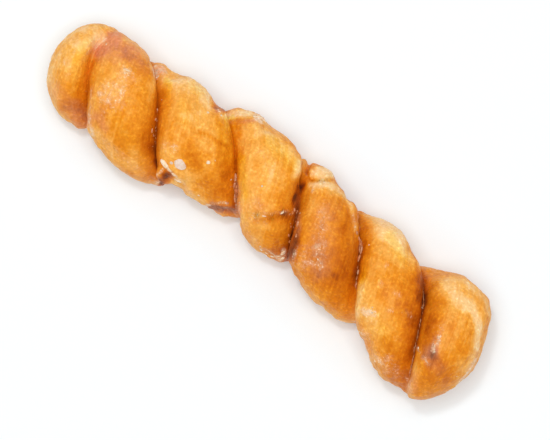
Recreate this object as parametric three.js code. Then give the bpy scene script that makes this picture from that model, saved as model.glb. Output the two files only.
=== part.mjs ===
// A twisted doughnut: one rope of yeast dough, folded in half, wound round itself and fried until its two
// strands have grown together into one piece. It lies along X and rests on Z = 0. Millimetres, +Z up, with
// the origin under the middle of the doughnut.

import * as THREE from "three";
import { mergeVertices } from "three/addons/utils/BufferGeometryUtils.js";

const { clamp, euclideanModulo, smoothstep } = THREE.MathUtils;

// Overall size
const LENGTH = 200;
const LEFT_END = 17; // how far each rounded end reaches along X
const RIGHT_END = 18;
const FLATTENING = 0.88; // height of a cross-section over its width
const SAG = 1.2; // how far the underside has settled into flat spots

// Half of the doughnut's width, how far its middle wanders sideways, and how much faster the strands turn
// over the top than underneath, as [x, size] along its length
const GIRTH = [[-85, 20.0], [-52, 22.0], [-22, 20.3], [40, 20.6], [56, 20.9], [80, 24.8]];
const WANDER = [
  [-96, 0.4], [-72, -1.3], [-44, -1.3], [-22, 5.8], [-8, 5.3],
  [26, 3.2], [44, 1.4], [60, 0.5], [80, -1.4],
];
const STEEPNESS = [[-75, 0.51], [-52, 0.29], [-18, 0.08], [10, 0.6], [38, 0.45], [74, 0.37]];

// The winding, counted in half turns: a crease passes over the top at each whole number
const FIRST_CREASE_X = -85.6;
const HALF_TURN = 31.53; // length that half a turn takes up
const UNEVENNESS = [
  { turns: -0.094, x: -26, spread: 62 }, // the left half is wound a little less far
  { turns: 0.11, x: 22, spread: 8 }, // one short stretch of the right half a little further
];

// The crease between the strands
const CREASE_DEPTH = 8.5;
const FULLNESS = 3.6; // the higher, the narrower the crease and the fuller the strand's shoulders
const TIP_FADE = 0.8; // share of the crease's depth that is lost at the head of the tip

// The inner strand's rounded left tip, in half turns, which the other strand wraps round
const TIP = { start: 0.43, length: 0.35, skew: 0.39 };

// Where the strands have grown together towards the right end, in half turns
const MERGING = { start: 5.15, end: 5.5 };

// Facets
const AROUND = 44;
const ALONG = 104;
const CROWDING = 0.55; // how much closer together the facets lie at the creases

const CRUST = { color: 0xd98a2b, roughness: 0.45, metalness: 0 };

const TURN = 2 * Math.PI;
const QUARTER_TURN = Math.PI / 2;

/** A size that eases from knot to knot along the doughnut. */
function eased(knots, x) {
  let size = knots[0][1];
  for (let i = 1; i < knots.length; i++) {
    const [fromX, from] = knots[i - 1];
    const [toX, to] = knots[i];
    size += (to - from) * smoothstep(x, fromX, toX);
  }
  return size;
}

/** How far the strands have wound at x, in half turns from the first crease. */
function winding(x) {
  let halfTurns = (x - FIRST_CREASE_X) / HALF_TURN;
  for (const uneven of UNEVENNESS) {
    halfTurns += uneven.turns * Math.exp(-(((x - uneven.x) / uneven.spread) ** 2));
  }
  return halfTurns;
}

/**
 * How far the dough dips between the strands, from 0 on a strand's middle line to 1 in the crease. The
 * inner strand's middle line is where the angle round the strands is 0, and a crease is a quarter turn off.
 */
function dip(halfTurns, aroundStrands) {
  const side = (euclideanModulo(aroundStrands + Math.PI, TURN) - Math.PI) / QUARTER_TURN;
  const pastTip = Math.max((TIP.start - halfTurns - TIP.skew * side) / TIP.length, 0);
  const fromInner = Math.hypot(side, pastTip);
  const fromMiddle = fromInner < 1 ? fromInner : Math.max(2 - fromInner, 0);
  const roundTip = smoothstep(pastTip, fromInner / 2, fromInner);
  const merged = smoothstep(halfTurns, MERGING.start, MERGING.end);
  return fromMiddle ** FULLNESS * (1 - TIP_FADE * roundTip) * (1 - merged);
}

/** The point of the crust at a share of the way round and of the way along. */
function crustPoint(roundShare, alongShare, target) {
  const girthLeft = eased(GIRTH, -LENGTH / 2);
  const girthRight = eased(GIRTH, LENGTH / 2);
  const leftArc = (QUARTER_TURN * (LEFT_END + girthLeft)) / 2;
  const rightArc = (QUARTER_TURN * (RIGHT_END + girthRight)) / 2;
  const straight = LENGTH - LEFT_END - RIGHT_END;

  const travel = alongShare * (leftArc + straight + rightArc);
  const leftAngle = clamp(travel / leftArc, 0, 1) * QUARTER_TURN;
  const rightAngle = clamp((travel - leftArc - straight) / rightArc, 0, 1) * QUARTER_TURN;
  const x =
    -LENGTH / 2 +
    LEFT_END * (1 - Math.cos(leftAngle)) +
    clamp(travel - leftArc, 0, straight) +
    RIGHT_END * Math.sin(rightAngle);
  const closing = Math.sin(leftAngle) * Math.cos(rightAngle);

  const evenlySpaced = roundShare * TURN;
  const aroundStrands = evenlySpaced + (CROWDING / 2) * Math.sin(2 * evenlySpaced);
  const halfTurns = winding(x);
  const evenlyWound = Math.PI * halfTurns + aroundStrands;
  const angle = evenlyWound - eased(STEEPNESS, x) * Math.cos(evenlyWound);
  const girth = eased(GIRTH, x);
  const reach = closing * (girth - CREASE_DEPTH * dip(halfTurns, aroundStrands));

  const middle = FLATTENING * girth - SAG;
  const z = middle + FLATTENING * reach * Math.sin(angle);
  return target.set(x, eased(WANDER, x) + reach * Math.cos(angle), Math.max(z, 0));
}

/** A closed grid whose points are moved onto the crust, centred over the origin. */
function twistGeometry() {
  const grid = new THREE.SphereGeometry(1, AROUND, ALONG);
  const shares = grid.getAttribute("uv");
  const places = grid.getAttribute("position");
  const point = new THREE.Vector3();
  for (let i = 0; i < places.count; i++) {
    crustPoint(shares.getX(i), shares.getY(i), point);
    places.setXYZ(i, point.x, point.y, point.z);
  }
  grid.deleteAttribute("normal");
  grid.deleteAttribute("uv");
  const closed = mergeVertices(grid);
  closed.computeBoundingBox();
  const { min, max } = closed.boundingBox;
  closed.translate(-(min.x + max.x) / 2, -(min.y + max.y) / 2, -min.z);
  closed.computeVertexNormals();
  return closed;
}

const twist = new THREE.Mesh(twistGeometry(), new THREE.MeshStandardMaterial(CRUST));
twist.name = "twisted_dough";

const doughnut = new THREE.Group();
doughnut.add(twist);

export default doughnut;
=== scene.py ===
"""The twisted doughnut as it looks: a fried crust under a thin sugar glaze, seen from straight above.

The crust has the solid's form, from the same sizes, with the relief and the browned tones that frying
gives it. Shade is painted into its creases and fine ripples, and highlights onto its lobes.
Sizes are in millimetres, and node trees work in millimetres too. Finished pieces are in metres.
"""

import logging
import math
from dataclasses import dataclass, fields
from enum import Enum
from types import SimpleNamespace
from typing import Any, Iterable, Mapping, Optional, Sequence, Union

import bpy
from mathutils import Euler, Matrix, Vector


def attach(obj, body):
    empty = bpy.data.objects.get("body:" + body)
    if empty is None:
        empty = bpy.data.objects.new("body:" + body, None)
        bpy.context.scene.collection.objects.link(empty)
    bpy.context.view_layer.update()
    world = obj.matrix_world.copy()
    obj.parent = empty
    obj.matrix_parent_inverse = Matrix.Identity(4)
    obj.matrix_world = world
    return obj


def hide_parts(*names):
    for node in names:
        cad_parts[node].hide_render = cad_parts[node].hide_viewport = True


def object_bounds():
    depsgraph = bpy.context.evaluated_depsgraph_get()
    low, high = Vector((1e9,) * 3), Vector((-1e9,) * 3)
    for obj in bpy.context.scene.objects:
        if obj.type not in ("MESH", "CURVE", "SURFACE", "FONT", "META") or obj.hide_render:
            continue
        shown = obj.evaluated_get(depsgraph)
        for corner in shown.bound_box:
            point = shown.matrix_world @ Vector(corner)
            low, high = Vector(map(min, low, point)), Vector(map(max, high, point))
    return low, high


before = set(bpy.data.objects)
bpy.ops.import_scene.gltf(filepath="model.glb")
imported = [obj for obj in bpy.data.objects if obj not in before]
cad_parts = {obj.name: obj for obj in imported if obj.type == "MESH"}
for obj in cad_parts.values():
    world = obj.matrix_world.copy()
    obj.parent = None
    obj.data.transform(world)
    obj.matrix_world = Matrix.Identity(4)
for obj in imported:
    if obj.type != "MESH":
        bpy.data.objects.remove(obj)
SOLID_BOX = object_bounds()

log = logging.getLogger("twisted_doughnut")

MM = 0.001
QUARTER_TURN = math.pi / 2
NEARLY_ZERO = 0.001
BODY = "root"

Span = tuple[float, float]
Knots = Sequence[Span]
Colour = tuple[float, float, float]
Sockets = Mapping[Union[str, int], Any]


class Value:
    """What a node gives, with arithmetic that adds Math nodes to its tree."""

    def __init__(self, tree: "Tree", socket: bpy.types.NodeSocket) -> None:
        """Wraps a socket of a tree."""
        self.tree = tree
        self.socket = socket

    def __add__(self, other: "Term") -> "Value":
        """This plus other."""
        return self.tree.math("ADD", self, other)

    def __sub__(self, other: "Term") -> "Value":
        """This less other."""
        return self.tree.math("SUBTRACT", self, other)

    def __rsub__(self, other: "Term") -> "Value":
        """Other less this."""
        return self.tree.math("SUBTRACT", other, self)

    def __mul__(self, other: "Term") -> "Value":
        """This times other."""
        return self.tree.math("MULTIPLY", self, other)

    def __truediv__(self, other: "Term") -> "Value":
        """This over other."""
        return self.tree.math("DIVIDE", self, other)

    def __rtruediv__(self, other: "Term") -> "Value":
        """Other over this."""
        return self.tree.math("DIVIDE", other, self)

    def __pow__(self, power: "Term") -> "Value":
        """This to a power."""
        return self.tree.math("POWER", self, power)

    __radd__ = __add__
    __rmul__ = __mul__


Term = Union[Value, float, int]


class Tree:
    """A node tree that is written as expressions."""

    def __init__(self, nodes: bpy.types.NodeTree) -> None:
        """Writes into an empty tree."""
        self.nodes = nodes

    def node(
        self,
        kind: str,
        settings: Optional[Mapping[str, Any]] = None,
        sockets: Optional[Sockets] = None,
    ) -> bpy.types.Node:
        """Adds a node.

        Args:
            kind: The node's type.
            settings: Its properties. A ramp's are its stops, as pairs of place and colour.
            sockets: Its inputs by name or number: numbers and colours to set, or values to link.

        Returns:
            The node.
        """
        made = self.nodes.nodes.new(kind)
        for name, setting in (settings or {}).items():
            if name == "stops":
                self._set_stops(made.color_ramp, setting)
            else:
                setattr(made, name, setting)
        for name, value in (sockets or {}).items():
            self.fill(self._pick(made.inputs, name), value)
        return made

    def fill(self, socket: bpy.types.NodeSocket, value: Any) -> None:
        """Links a value to an input, or sets the input to a number, a colour or a material.

        Args:
            socket: The input.
            value: What goes into it.
        """
        if isinstance(value, Value):
            self.nodes.links.new(value.socket, socket)
        else:
            socket.default_value = value

    def output(self, made: bpy.types.Node, name: Union[str, int]) -> Value:
        """What one of a node's outputs gives."""
        return Value(self, self._pick(made.outputs, name))

    def give(
        self,
        kind: str,
        output: Union[str, int],
        settings: Optional[Mapping[str, Any]] = None,
        sockets: Optional[Sockets] = None,
    ) -> Value:
        """Adds a node and takes one of its outputs.

        Args:
            kind: The node's type.
            output: The output's name or number.
            settings: As for node.
            sockets: As for node.

        Returns:
            What the output gives.
        """
        return self.output(self.node(kind, settings, sockets), output)

    def math(self, operation: str, *terms: Term) -> Value:
        """A Math node on the terms."""
        return self.give("ShaderNodeMath", 0, {"operation": operation}, dict(enumerate(terms)))

    def vector(self, operation: str, *terms: Any) -> Value:
        """A Vector Math node on the terms that gives a vector."""
        settings = {"operation": operation}
        return self.give("ShaderNodeVectorMath", "Vector", settings, dict(enumerate(terms)))

    def scaled(self, vector: Value, scale: Term) -> Value:
        """A vector times a number."""
        return self.give(
            "ShaderNodeVectorMath", "Vector", {"operation": "SCALE"}, {"Vector": vector, "Scale": scale}
        )

    def joined(self, x: Term, y: Term, z: Term) -> Value:
        """A vector from its three numbers."""
        return self.give("ShaderNodeCombineXYZ", "Vector", {}, {"X": x, "Y": y, "Z": z})

    def parts(self, vector: Value) -> tuple[Value, Value, Value]:
        """A vector's three numbers."""
        made = self.node("ShaderNodeSeparateXYZ", {}, {"Vector": vector})
        return tuple(self.output(made, axis) for axis in "XYZ")

    def smooth(self, value: Term, low: Term, high: Term, start: Term = 0.0, end: Term = 1.0) -> Value:
        """A value that eases from start to end while another goes from low to high.

        Args:
            value: What is followed.
            low: Where the easing starts.
            high: Where it ends.
            start: What is given below low.
            end: What is given above high.

        Returns:
            The eased value.
        """
        sockets = {"Value": value, "From Min": low, "From Max": high, "To Min": start, "To Max": end}
        return self.give("ShaderNodeMapRange", "Result", {"interpolation_type": "SMOOTHSTEP"}, sockets)

    def noise(self, place: Value, grain: float, seed: float, detail: float = 2.0) -> Value:
        """Cloudy noise about zero, mostly between -0.5 and 0.5.

        Args:
            place: Where it is read.
            grain: The size of its lumps, in the units of place.
            seed: Which noise it is.
            detail: How many finer layers it has.

        Returns:
            The noise.
        """
        sockets = {"Vector": place, "W": seed, "Scale": 1.0 / grain, "Detail": detail}
        return self.give("ShaderNodeTexNoise", 0, {"noise_dimensions": "4D"}, sockets) * 2.0 - 1.0

    def streaks(
        self, strand: Value, squeeze: float, grain: float, seed: float, detail: float = 2.0
    ) -> Value:
        """Noise that is drawn out along the strands.

        Args:
            strand: A place with the twist undone.
            squeeze: How fast it changes along a strand, over how fast it does across it.
            grain: The size of its lumps across a strand.
            seed: Which noise it is.
            detail: How many finer layers it has.

        Returns:
            The noise.
        """
        return self.noise(self.vector("MULTIPLY", strand, (squeeze, 1.0, 1.0)), grain, seed, detail)

    def mix(self, share: Term, first: Any, second: Any) -> Value:
        """A colour that goes from the first to the second as share goes from 0 to 1."""
        return self.give(
            "ShaderNodeMix", "Result", {"data_type": "RGBA"}, {"Factor": share, "A": first, "B": second}
        )

    @staticmethod
    def _pick(sockets: Iterable[bpy.types.NodeSocket], name: Union[str, int]) -> bpy.types.NodeSocket:
        """Finds a socket.

        Args:
            sockets: A node's inputs or outputs.
            name: The socket's number, or its name.

        Returns:
            The socket of that number, or the one in use of that name.
        """
        if isinstance(name, int):
            return sockets[name]
        return next(socket for socket in sockets if socket.name == name and socket.enabled)

    @staticmethod
    def _set_stops(ramp: bpy.types.ColorRamp, stops: Sequence[tuple[float, Colour]]) -> None:
        """Gives a ramp its stops.

        Args:
            ramp: The ramp.
            stops: Pairs of place and colour.
        """
        while len(ramp.elements) < len(stops):
            ramp.elements.new(1.0)
        for element, (place, colour) in zip(ramp.elements, stops):
            element.position = place
            element.color = (*colour, 1.0)


class ShapeTree(Tree):
    """A geometry tree whose inputs are named for the fields of its sizes."""

    def __init__(self, name: str, sizes: Any) -> None:
        """Makes the tree and its inputs.

        Args:
            name: The name of the tree and of the piece that it makes.
            sizes: A dataclass of whole numbers and decimal numbers.
        """
        super().__init__(bpy.data.node_groups.new(name, "GeometryNodeTree"))
        self.name = name
        self.sizes = sizes
        interface = self.nodes.interface
        interface.new_socket("Geometry", in_out="INPUT", socket_type="NodeSocketGeometry")
        self.identifiers: dict[str, str] = {}
        for size in fields(sizes):
            whole = isinstance(getattr(sizes, size.name), int)
            kind = "NodeSocketInt" if whole else "NodeSocketFloat"
            socket = interface.new_socket(size.name, in_out="INPUT", socket_type=kind)
            self.identifiers[size.name] = socket.identifier
        interface.new_socket("Geometry", in_out="OUTPUT", socket_type="NodeSocketGeometry")
        given = self.node("NodeGroupInput")
        self.start = self.output(given, "Geometry")
        self.size = SimpleNamespace(**{name: self.output(given, name) for name in self.identifiers})

    def position(self) -> Value:
        """Where each point is."""
        return self.give("GeometryNodeInputPosition", "Position")

    def normal(self) -> Value:
        """Which way each point faces."""
        return self.give("GeometryNodeInputNormal", "Normal")

    def stored(self, name: str, kind: str = "FLOAT") -> Value:
        """An attribute that was stored before."""
        settings = {"data_type": kind}
        return self.give("GeometryNodeInputNamedAttribute", "Attribute", settings, {"Name": name})

    def store(self, geometry: Value, name: str, value: Value, kind: str = "FLOAT") -> Value:
        """Stores a value on each point under a name.

        Args:
            geometry: What has the points.
            name: The attribute's name.
            value: What is stored.
            kind: The attribute's data type.

        Returns:
            The geometry with the attribute.
        """
        settings = {"data_type": kind, "domain": "POINT"}
        sockets = {"Geometry": geometry, "Name": name, "Value": value}
        return self.give("GeometryNodeStoreNamedAttribute", "Geometry", settings, sockets)

    def placed(self, geometry: Value, position: Value) -> Value:
        """Geometry whose points are put at a position."""
        sockets = {"Geometry": geometry, "Position": position}
        return self.give("GeometryNodeSetPosition", "Geometry", {}, sockets)

    def moved(self, geometry: Value, offset: Value) -> Value:
        """Geometry whose points are moved by an offset."""
        sockets = {"Geometry": geometry, "Offset": offset}
        return self.give("GeometryNodeSetPosition", "Geometry", {}, sockets)

    def resized(self, geometry: Value, scale: float) -> Value:
        """Geometry that is scaled about the origin."""
        sockets = {"Geometry": geometry, "Scale": (scale, scale, scale)}
        return self.give("GeometryNodeTransform", "Geometry", {}, sockets)

    def ground(self) -> Value:
        """The mesh that the tree starts from, in millimetres."""
        return self.resized(self.start, 1 / MM)

    def ball(self, segments: Value, rings: Value) -> Value:
        """A ball of radius 1 with that many facets round it and along it."""
        sockets = {"Segments": segments, "Rings": rings, "Radius": 1.0}
        return self.give("GeometryNodeMeshUVSphere", "Mesh", {}, sockets)

    def uneven(self, shape: Value, grain: float, seed: float, depth: Term) -> Value:
        """A shape whose points are moved in and out by noise.

        Args:
            shape: What is made uneven.
            grain: The size of the noise's lumps.
            seed: Which noise it is.
            depth: How far the noise moves the points.

        Returns:
            The uneven shape.
        """
        rise = self.noise(self.position(), grain, seed) * depth
        return self.moved(shape, self.scaled(self.normal(), rise))

    def repeated(self, shape: Value, points: Value, rotation: Value, scale: Value) -> Value:
        """A shape on every point, turned and scaled."""
        sockets = {"Points": points, "Instance": shape, "Rotation": rotation, "Scale": scale}
        return self.give("GeometryNodeInstanceOnPoints", "Instances", {}, sockets)

    def gathered(self, shapes: Iterable[Value]) -> Value:
        """Joins several shapes.

        Args:
            shapes: The shapes, in order.

        Returns:
            All of them as one geometry.
        """
        every = self.node("GeometryNodeJoinGeometry")
        for shape in shapes:
            self.nodes.links.new(shape.socket, every.inputs["Geometry"])
        return self.output(every, "Geometry")

    def random(self, low: Term, high: Term, seed: Term) -> Value:
        """A random number for each point or instance."""
        sockets = {"Min": low, "Max": high, "Seed": seed}
        return self.give("FunctionNodeRandomValue", "Value", {"data_type": "FLOAT"}, sockets)

    def piece(
        self,
        shape: Value,
        finish: bpy.types.Material,
        start: Optional[bpy.types.Mesh] = None,
    ) -> bpy.types.Object:
        """Ends the tree and turns what it makes into a plain mesh.

        Args:
            shape: What the tree makes, in millimetres.
            finish: The piece's material.
            start: The mesh that the tree starts from, if it needs one.

        Returns:
            The piece, with its place in its mesh.
        """
        in_metres = self.resized(shape, MM)
        soft = self.give("GeometryNodeSetShadeSmooth", "Geometry", {}, {"Geometry": in_metres})
        real = self.give("GeometryNodeRealizeInstances", "Geometry", {}, {"Geometry": soft})
        sockets = {"Geometry": real, "Material": finish}
        dressed = self.give("GeometryNodeSetMaterial", "Geometry", {}, sockets)
        self.node("NodeGroupOutput", {}, {"Geometry": dressed})

        made = bpy.data.objects.new(self.name, start or bpy.data.meshes.new(self.name))
        bpy.context.scene.collection.objects.link(made)
        modifier = made.modifiers.new(self.name, "NODES")
        modifier.node_group = self.nodes
        for name, identifier in self.identifiers.items():
            modifier[identifier] = getattr(self.sizes, name)
        graph = bpy.context.evaluated_depsgraph_get()
        mesh = bpy.data.meshes.new_from_object(
            made.evaluated_get(graph), preserve_all_data_layers=True, depsgraph=graph
        )
        made.modifiers.remove(modifier)
        made.data = mesh
        mesh.name = self.name
        return made


@dataclass(frozen=True)
class TwistSizes:
    """The sizes of the twist: millimetres, half turns of the winding, shares, and facets."""

    length: float = 200.0
    left_end: float = 17.0
    right_end: float = 18.0
    flattening: float = 0.88
    sag: float = 1.2
    settling: float = 1.6
    spread: float = 0.1
    centring: float = 0.36
    first_crease_x: float = -85.6
    half_turn: float = 31.53
    crease_depth: float = 8.5
    fullness: float = 3.6
    groove_depth: float = 1.2
    groove_fullness: float = 14.0
    undercut: float = 0.03
    tip: float = 0.43
    tip_length: float = 0.35
    tip_skew: float = 0.39
    tip_fade: float = 0.8
    merging_start: float = 5.15
    merging_end: float = 5.5
    crowding: float = 0.55
    around: int = 240
    along: int = 396


# Half of the doughnut's width, how far its middle wanders sideways, and how much faster the strands turn
# over the top than underneath, each as pairs of x and size
GIRTH: Knots = ((-85, 20.0), (-52, 22.0), (-22, 20.3), (40, 20.6), (56, 20.9), (80, 24.8))
WANDER: Knots = (
    (-96, 0.4), (-72, -1.3), (-44, -1.3), (-22, 5.8), (-8, 5.3),
    (26, 3.2), (44, 1.4), (60, 0.5), (80, -1.4),
)
STEEPNESS: Knots = ((-75, 0.51), (-52, 0.29), (-18, 0.08), (10, 0.6), (38, 0.45), (74, 0.37))


@dataclass(frozen=True)
class Unevenness:
    """A stretch that is wound further or less far than the rest: half turns, and millimetres along X."""

    turns: float
    x: float
    reach: float


UNEVENNESS: Sequence[Unevenness] = (Unevenness(-0.094, -26.0, 62.0), Unevenness(0.11, 22.0, 8.0))


class Twist:
    """The form of the two strands, written into a tree."""

    def __init__(self, tree: ShapeTree) -> None:
        """Takes its sizes from the tree's inputs."""
        self.tree = tree
        self.size = tree.size

    def eased(self, knots: Knots, x: Value) -> Value:
        """A size that eases from knot to knot along the doughnut.

        Args:
            knots: Pairs of x and size.
            x: The place along the doughnut.

        Returns:
            The size at x.
        """
        size = knots[0][1]
        for (from_x, start), (to_x, end) in zip(knots, knots[1:]):
            size = size + self.tree.smooth(x, from_x, to_x, 0.0, end - start)
        return size

    def winding(self, x: Value) -> Value:
        """How far the strands have wound.

        Args:
            x: The place along the doughnut.

        Returns:
            The winding at x, in half turns from the first crease.
        """
        half_turns = (x - self.size.first_crease_x) / self.size.half_turn
        for uneven in UNEVENNESS:
            off = (x - uneven.x) / uneven.reach
            half_turns = half_turns + self.tree.math("EXPONENT", off * off * -1.0) * uneven.turns
        return half_turns

    def dip(self, winding: Value, around: Value) -> tuple[Value, Value]:
        """How far the dough dips between the strands.

        Args:
            winding: How far the strands have wound, in half turns.
            around: The angle round the strands from the inner one's middle line.

        Returns:
            The wide dip and the narrow groove at its bottom, each from 0 to 1.
        """
        size, tree = self.size, self.tree
        side = tree.math("WRAP", around, math.pi, -math.pi) / QUARTER_TURN
        beyond = (size.tip - winding - size.tip_skew * side) / size.tip_length
        past_tip = tree.math("MAXIMUM", beyond, 0.0)
        from_inner = tree.math("SQRT", side * side + past_tip * past_tip)
        from_middle = tree.math("MAXIMUM", tree.math("MINIMUM", from_inner, 2.0 - from_inner), 0.0)
        round_tip = tree.smooth(past_tip / tree.math("MAXIMUM", from_inner, NEARLY_ZERO), 0.5, 1.0)
        merged = tree.smooth(winding, size.merging_start, size.merging_end)
        kept = (1.0 - size.tip_fade * round_tip) * (1.0 - merged)
        return from_middle ** size.fullness * kept, from_middle ** size.groove_fullness * kept

    def point(self, x: Value, closing: Term, around: Value, dip: Term, groove: Term) -> tuple[Value, Value]:
        """The point of the crust at a place along and an angle round the strands.

        Args:
            x: The place along the doughnut.
            closing: The share of the girth that an end has there.
            around: The angle round the strands.
            dip: The share of the crease's depth.
            groove: The share of the groove's depth.

        Returns:
            The point, and how far it is from the middle of its cross-section.
        """
        size, tree = self.size, self.tree
        wound = self.winding(x) * math.pi + around
        leaning = self.eased(STEEPNESS, x) * tree.math("COSINE", wound) + size.undercut * dip * dip
        angle = wound - leaning
        girth = self.eased(GIRTH, x)
        reach = closing * (girth - size.crease_depth * dip - size.groove_depth * groove)
        up = tree.math("SINE", angle)
        spread = 1.0 + size.spread * tree.math("MAXIMUM", up * -1.0, 0.0)
        y = self.eased(WANDER, x) - size.centring + reach * spread * tree.math("COSINE", angle)
        z = size.flattening * (girth + reach * up) - size.sag
        settled = tree.math("SMOOTH_MAX", z, 0.0, size.settling)
        return tree.joined(x, y, settled), reach


class SoftStroke:
    """A node group that adds the share of a soft, ragged stroke at a place.

    The stroke has its full strength in its core, which is given as a share of its half width.
    """

    core = 0.15
    inputs = {
        "Before": "NodeSocketFloat",
        "Place": "NodeSocketVector",
        "Ragged": "NodeSocketFloat",
        "Middle": "NodeSocketVector",
        "Turn": "NodeSocketFloat",
        "Length": "NodeSocketFloat",
        "Width": "NodeSocketFloat",
        "Strength": "NodeSocketFloat",
    }

    def __init__(self) -> None:
        """Makes the group."""
        self.group = bpy.data.node_groups.new("soft_stroke", "GeometryNodeTree")
        for name, kind in self.inputs.items():
            self.group.interface.new_socket(name, in_out="INPUT", socket_type=kind)
        self.group.interface.new_socket("Sum", in_out="OUTPUT", socket_type="NodeSocketFloat")
        tree = Tree(self.group)
        given = tree.node("NodeGroupInput")
        before, place, ragged, middle, turn, length, width, strength = (
            tree.output(given, name) for name in self.inputs
        )
        off_x, off_y, _ = tree.parts(tree.vector("SUBTRACT", place, middle))
        cos, sin = tree.math("COSINE", turn), tree.math("SINE", turn)
        along = tree.math("ABSOLUTE", off_x * cos + off_y * sin)
        across = off_y * cos - off_x * sin
        past_end = tree.math("MAXIMUM", along - (length - width) / 2.0, 0.0)
        away = tree.math("SQRT", past_end * past_end + across * across) / width
        share = tree.smooth(away + ragged, 1.0, self.core)
        tree.node("NodeGroupOutput", {}, {"Sum": before + share * strength})


class Tone(Enum):
    """What a patch does to the crust."""

    # Pale and milk-white strokes are partly painted highlights, and brown strokes partly painted shade
    PALE_AND_HIGHLIGHT = "pale"
    BROWN = "brown"
    ROSY = "rosy"
    MILKY = "milky"
    RAISED = "raised"


@dataclass(frozen=True)
class Patch:
    """A soft stroke on the top of the crust: its middle, length, half width, turn and strength.

    It is in millimetres and degrees. A raised patch has its height as its strength, and a rosy patch below
    zero makes the crust yellower.
    """

    x: float
    y: float
    length: float
    width: float
    turn: float
    strength: float


PatchRow = tuple[float, float, float, float, float, float]

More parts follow.
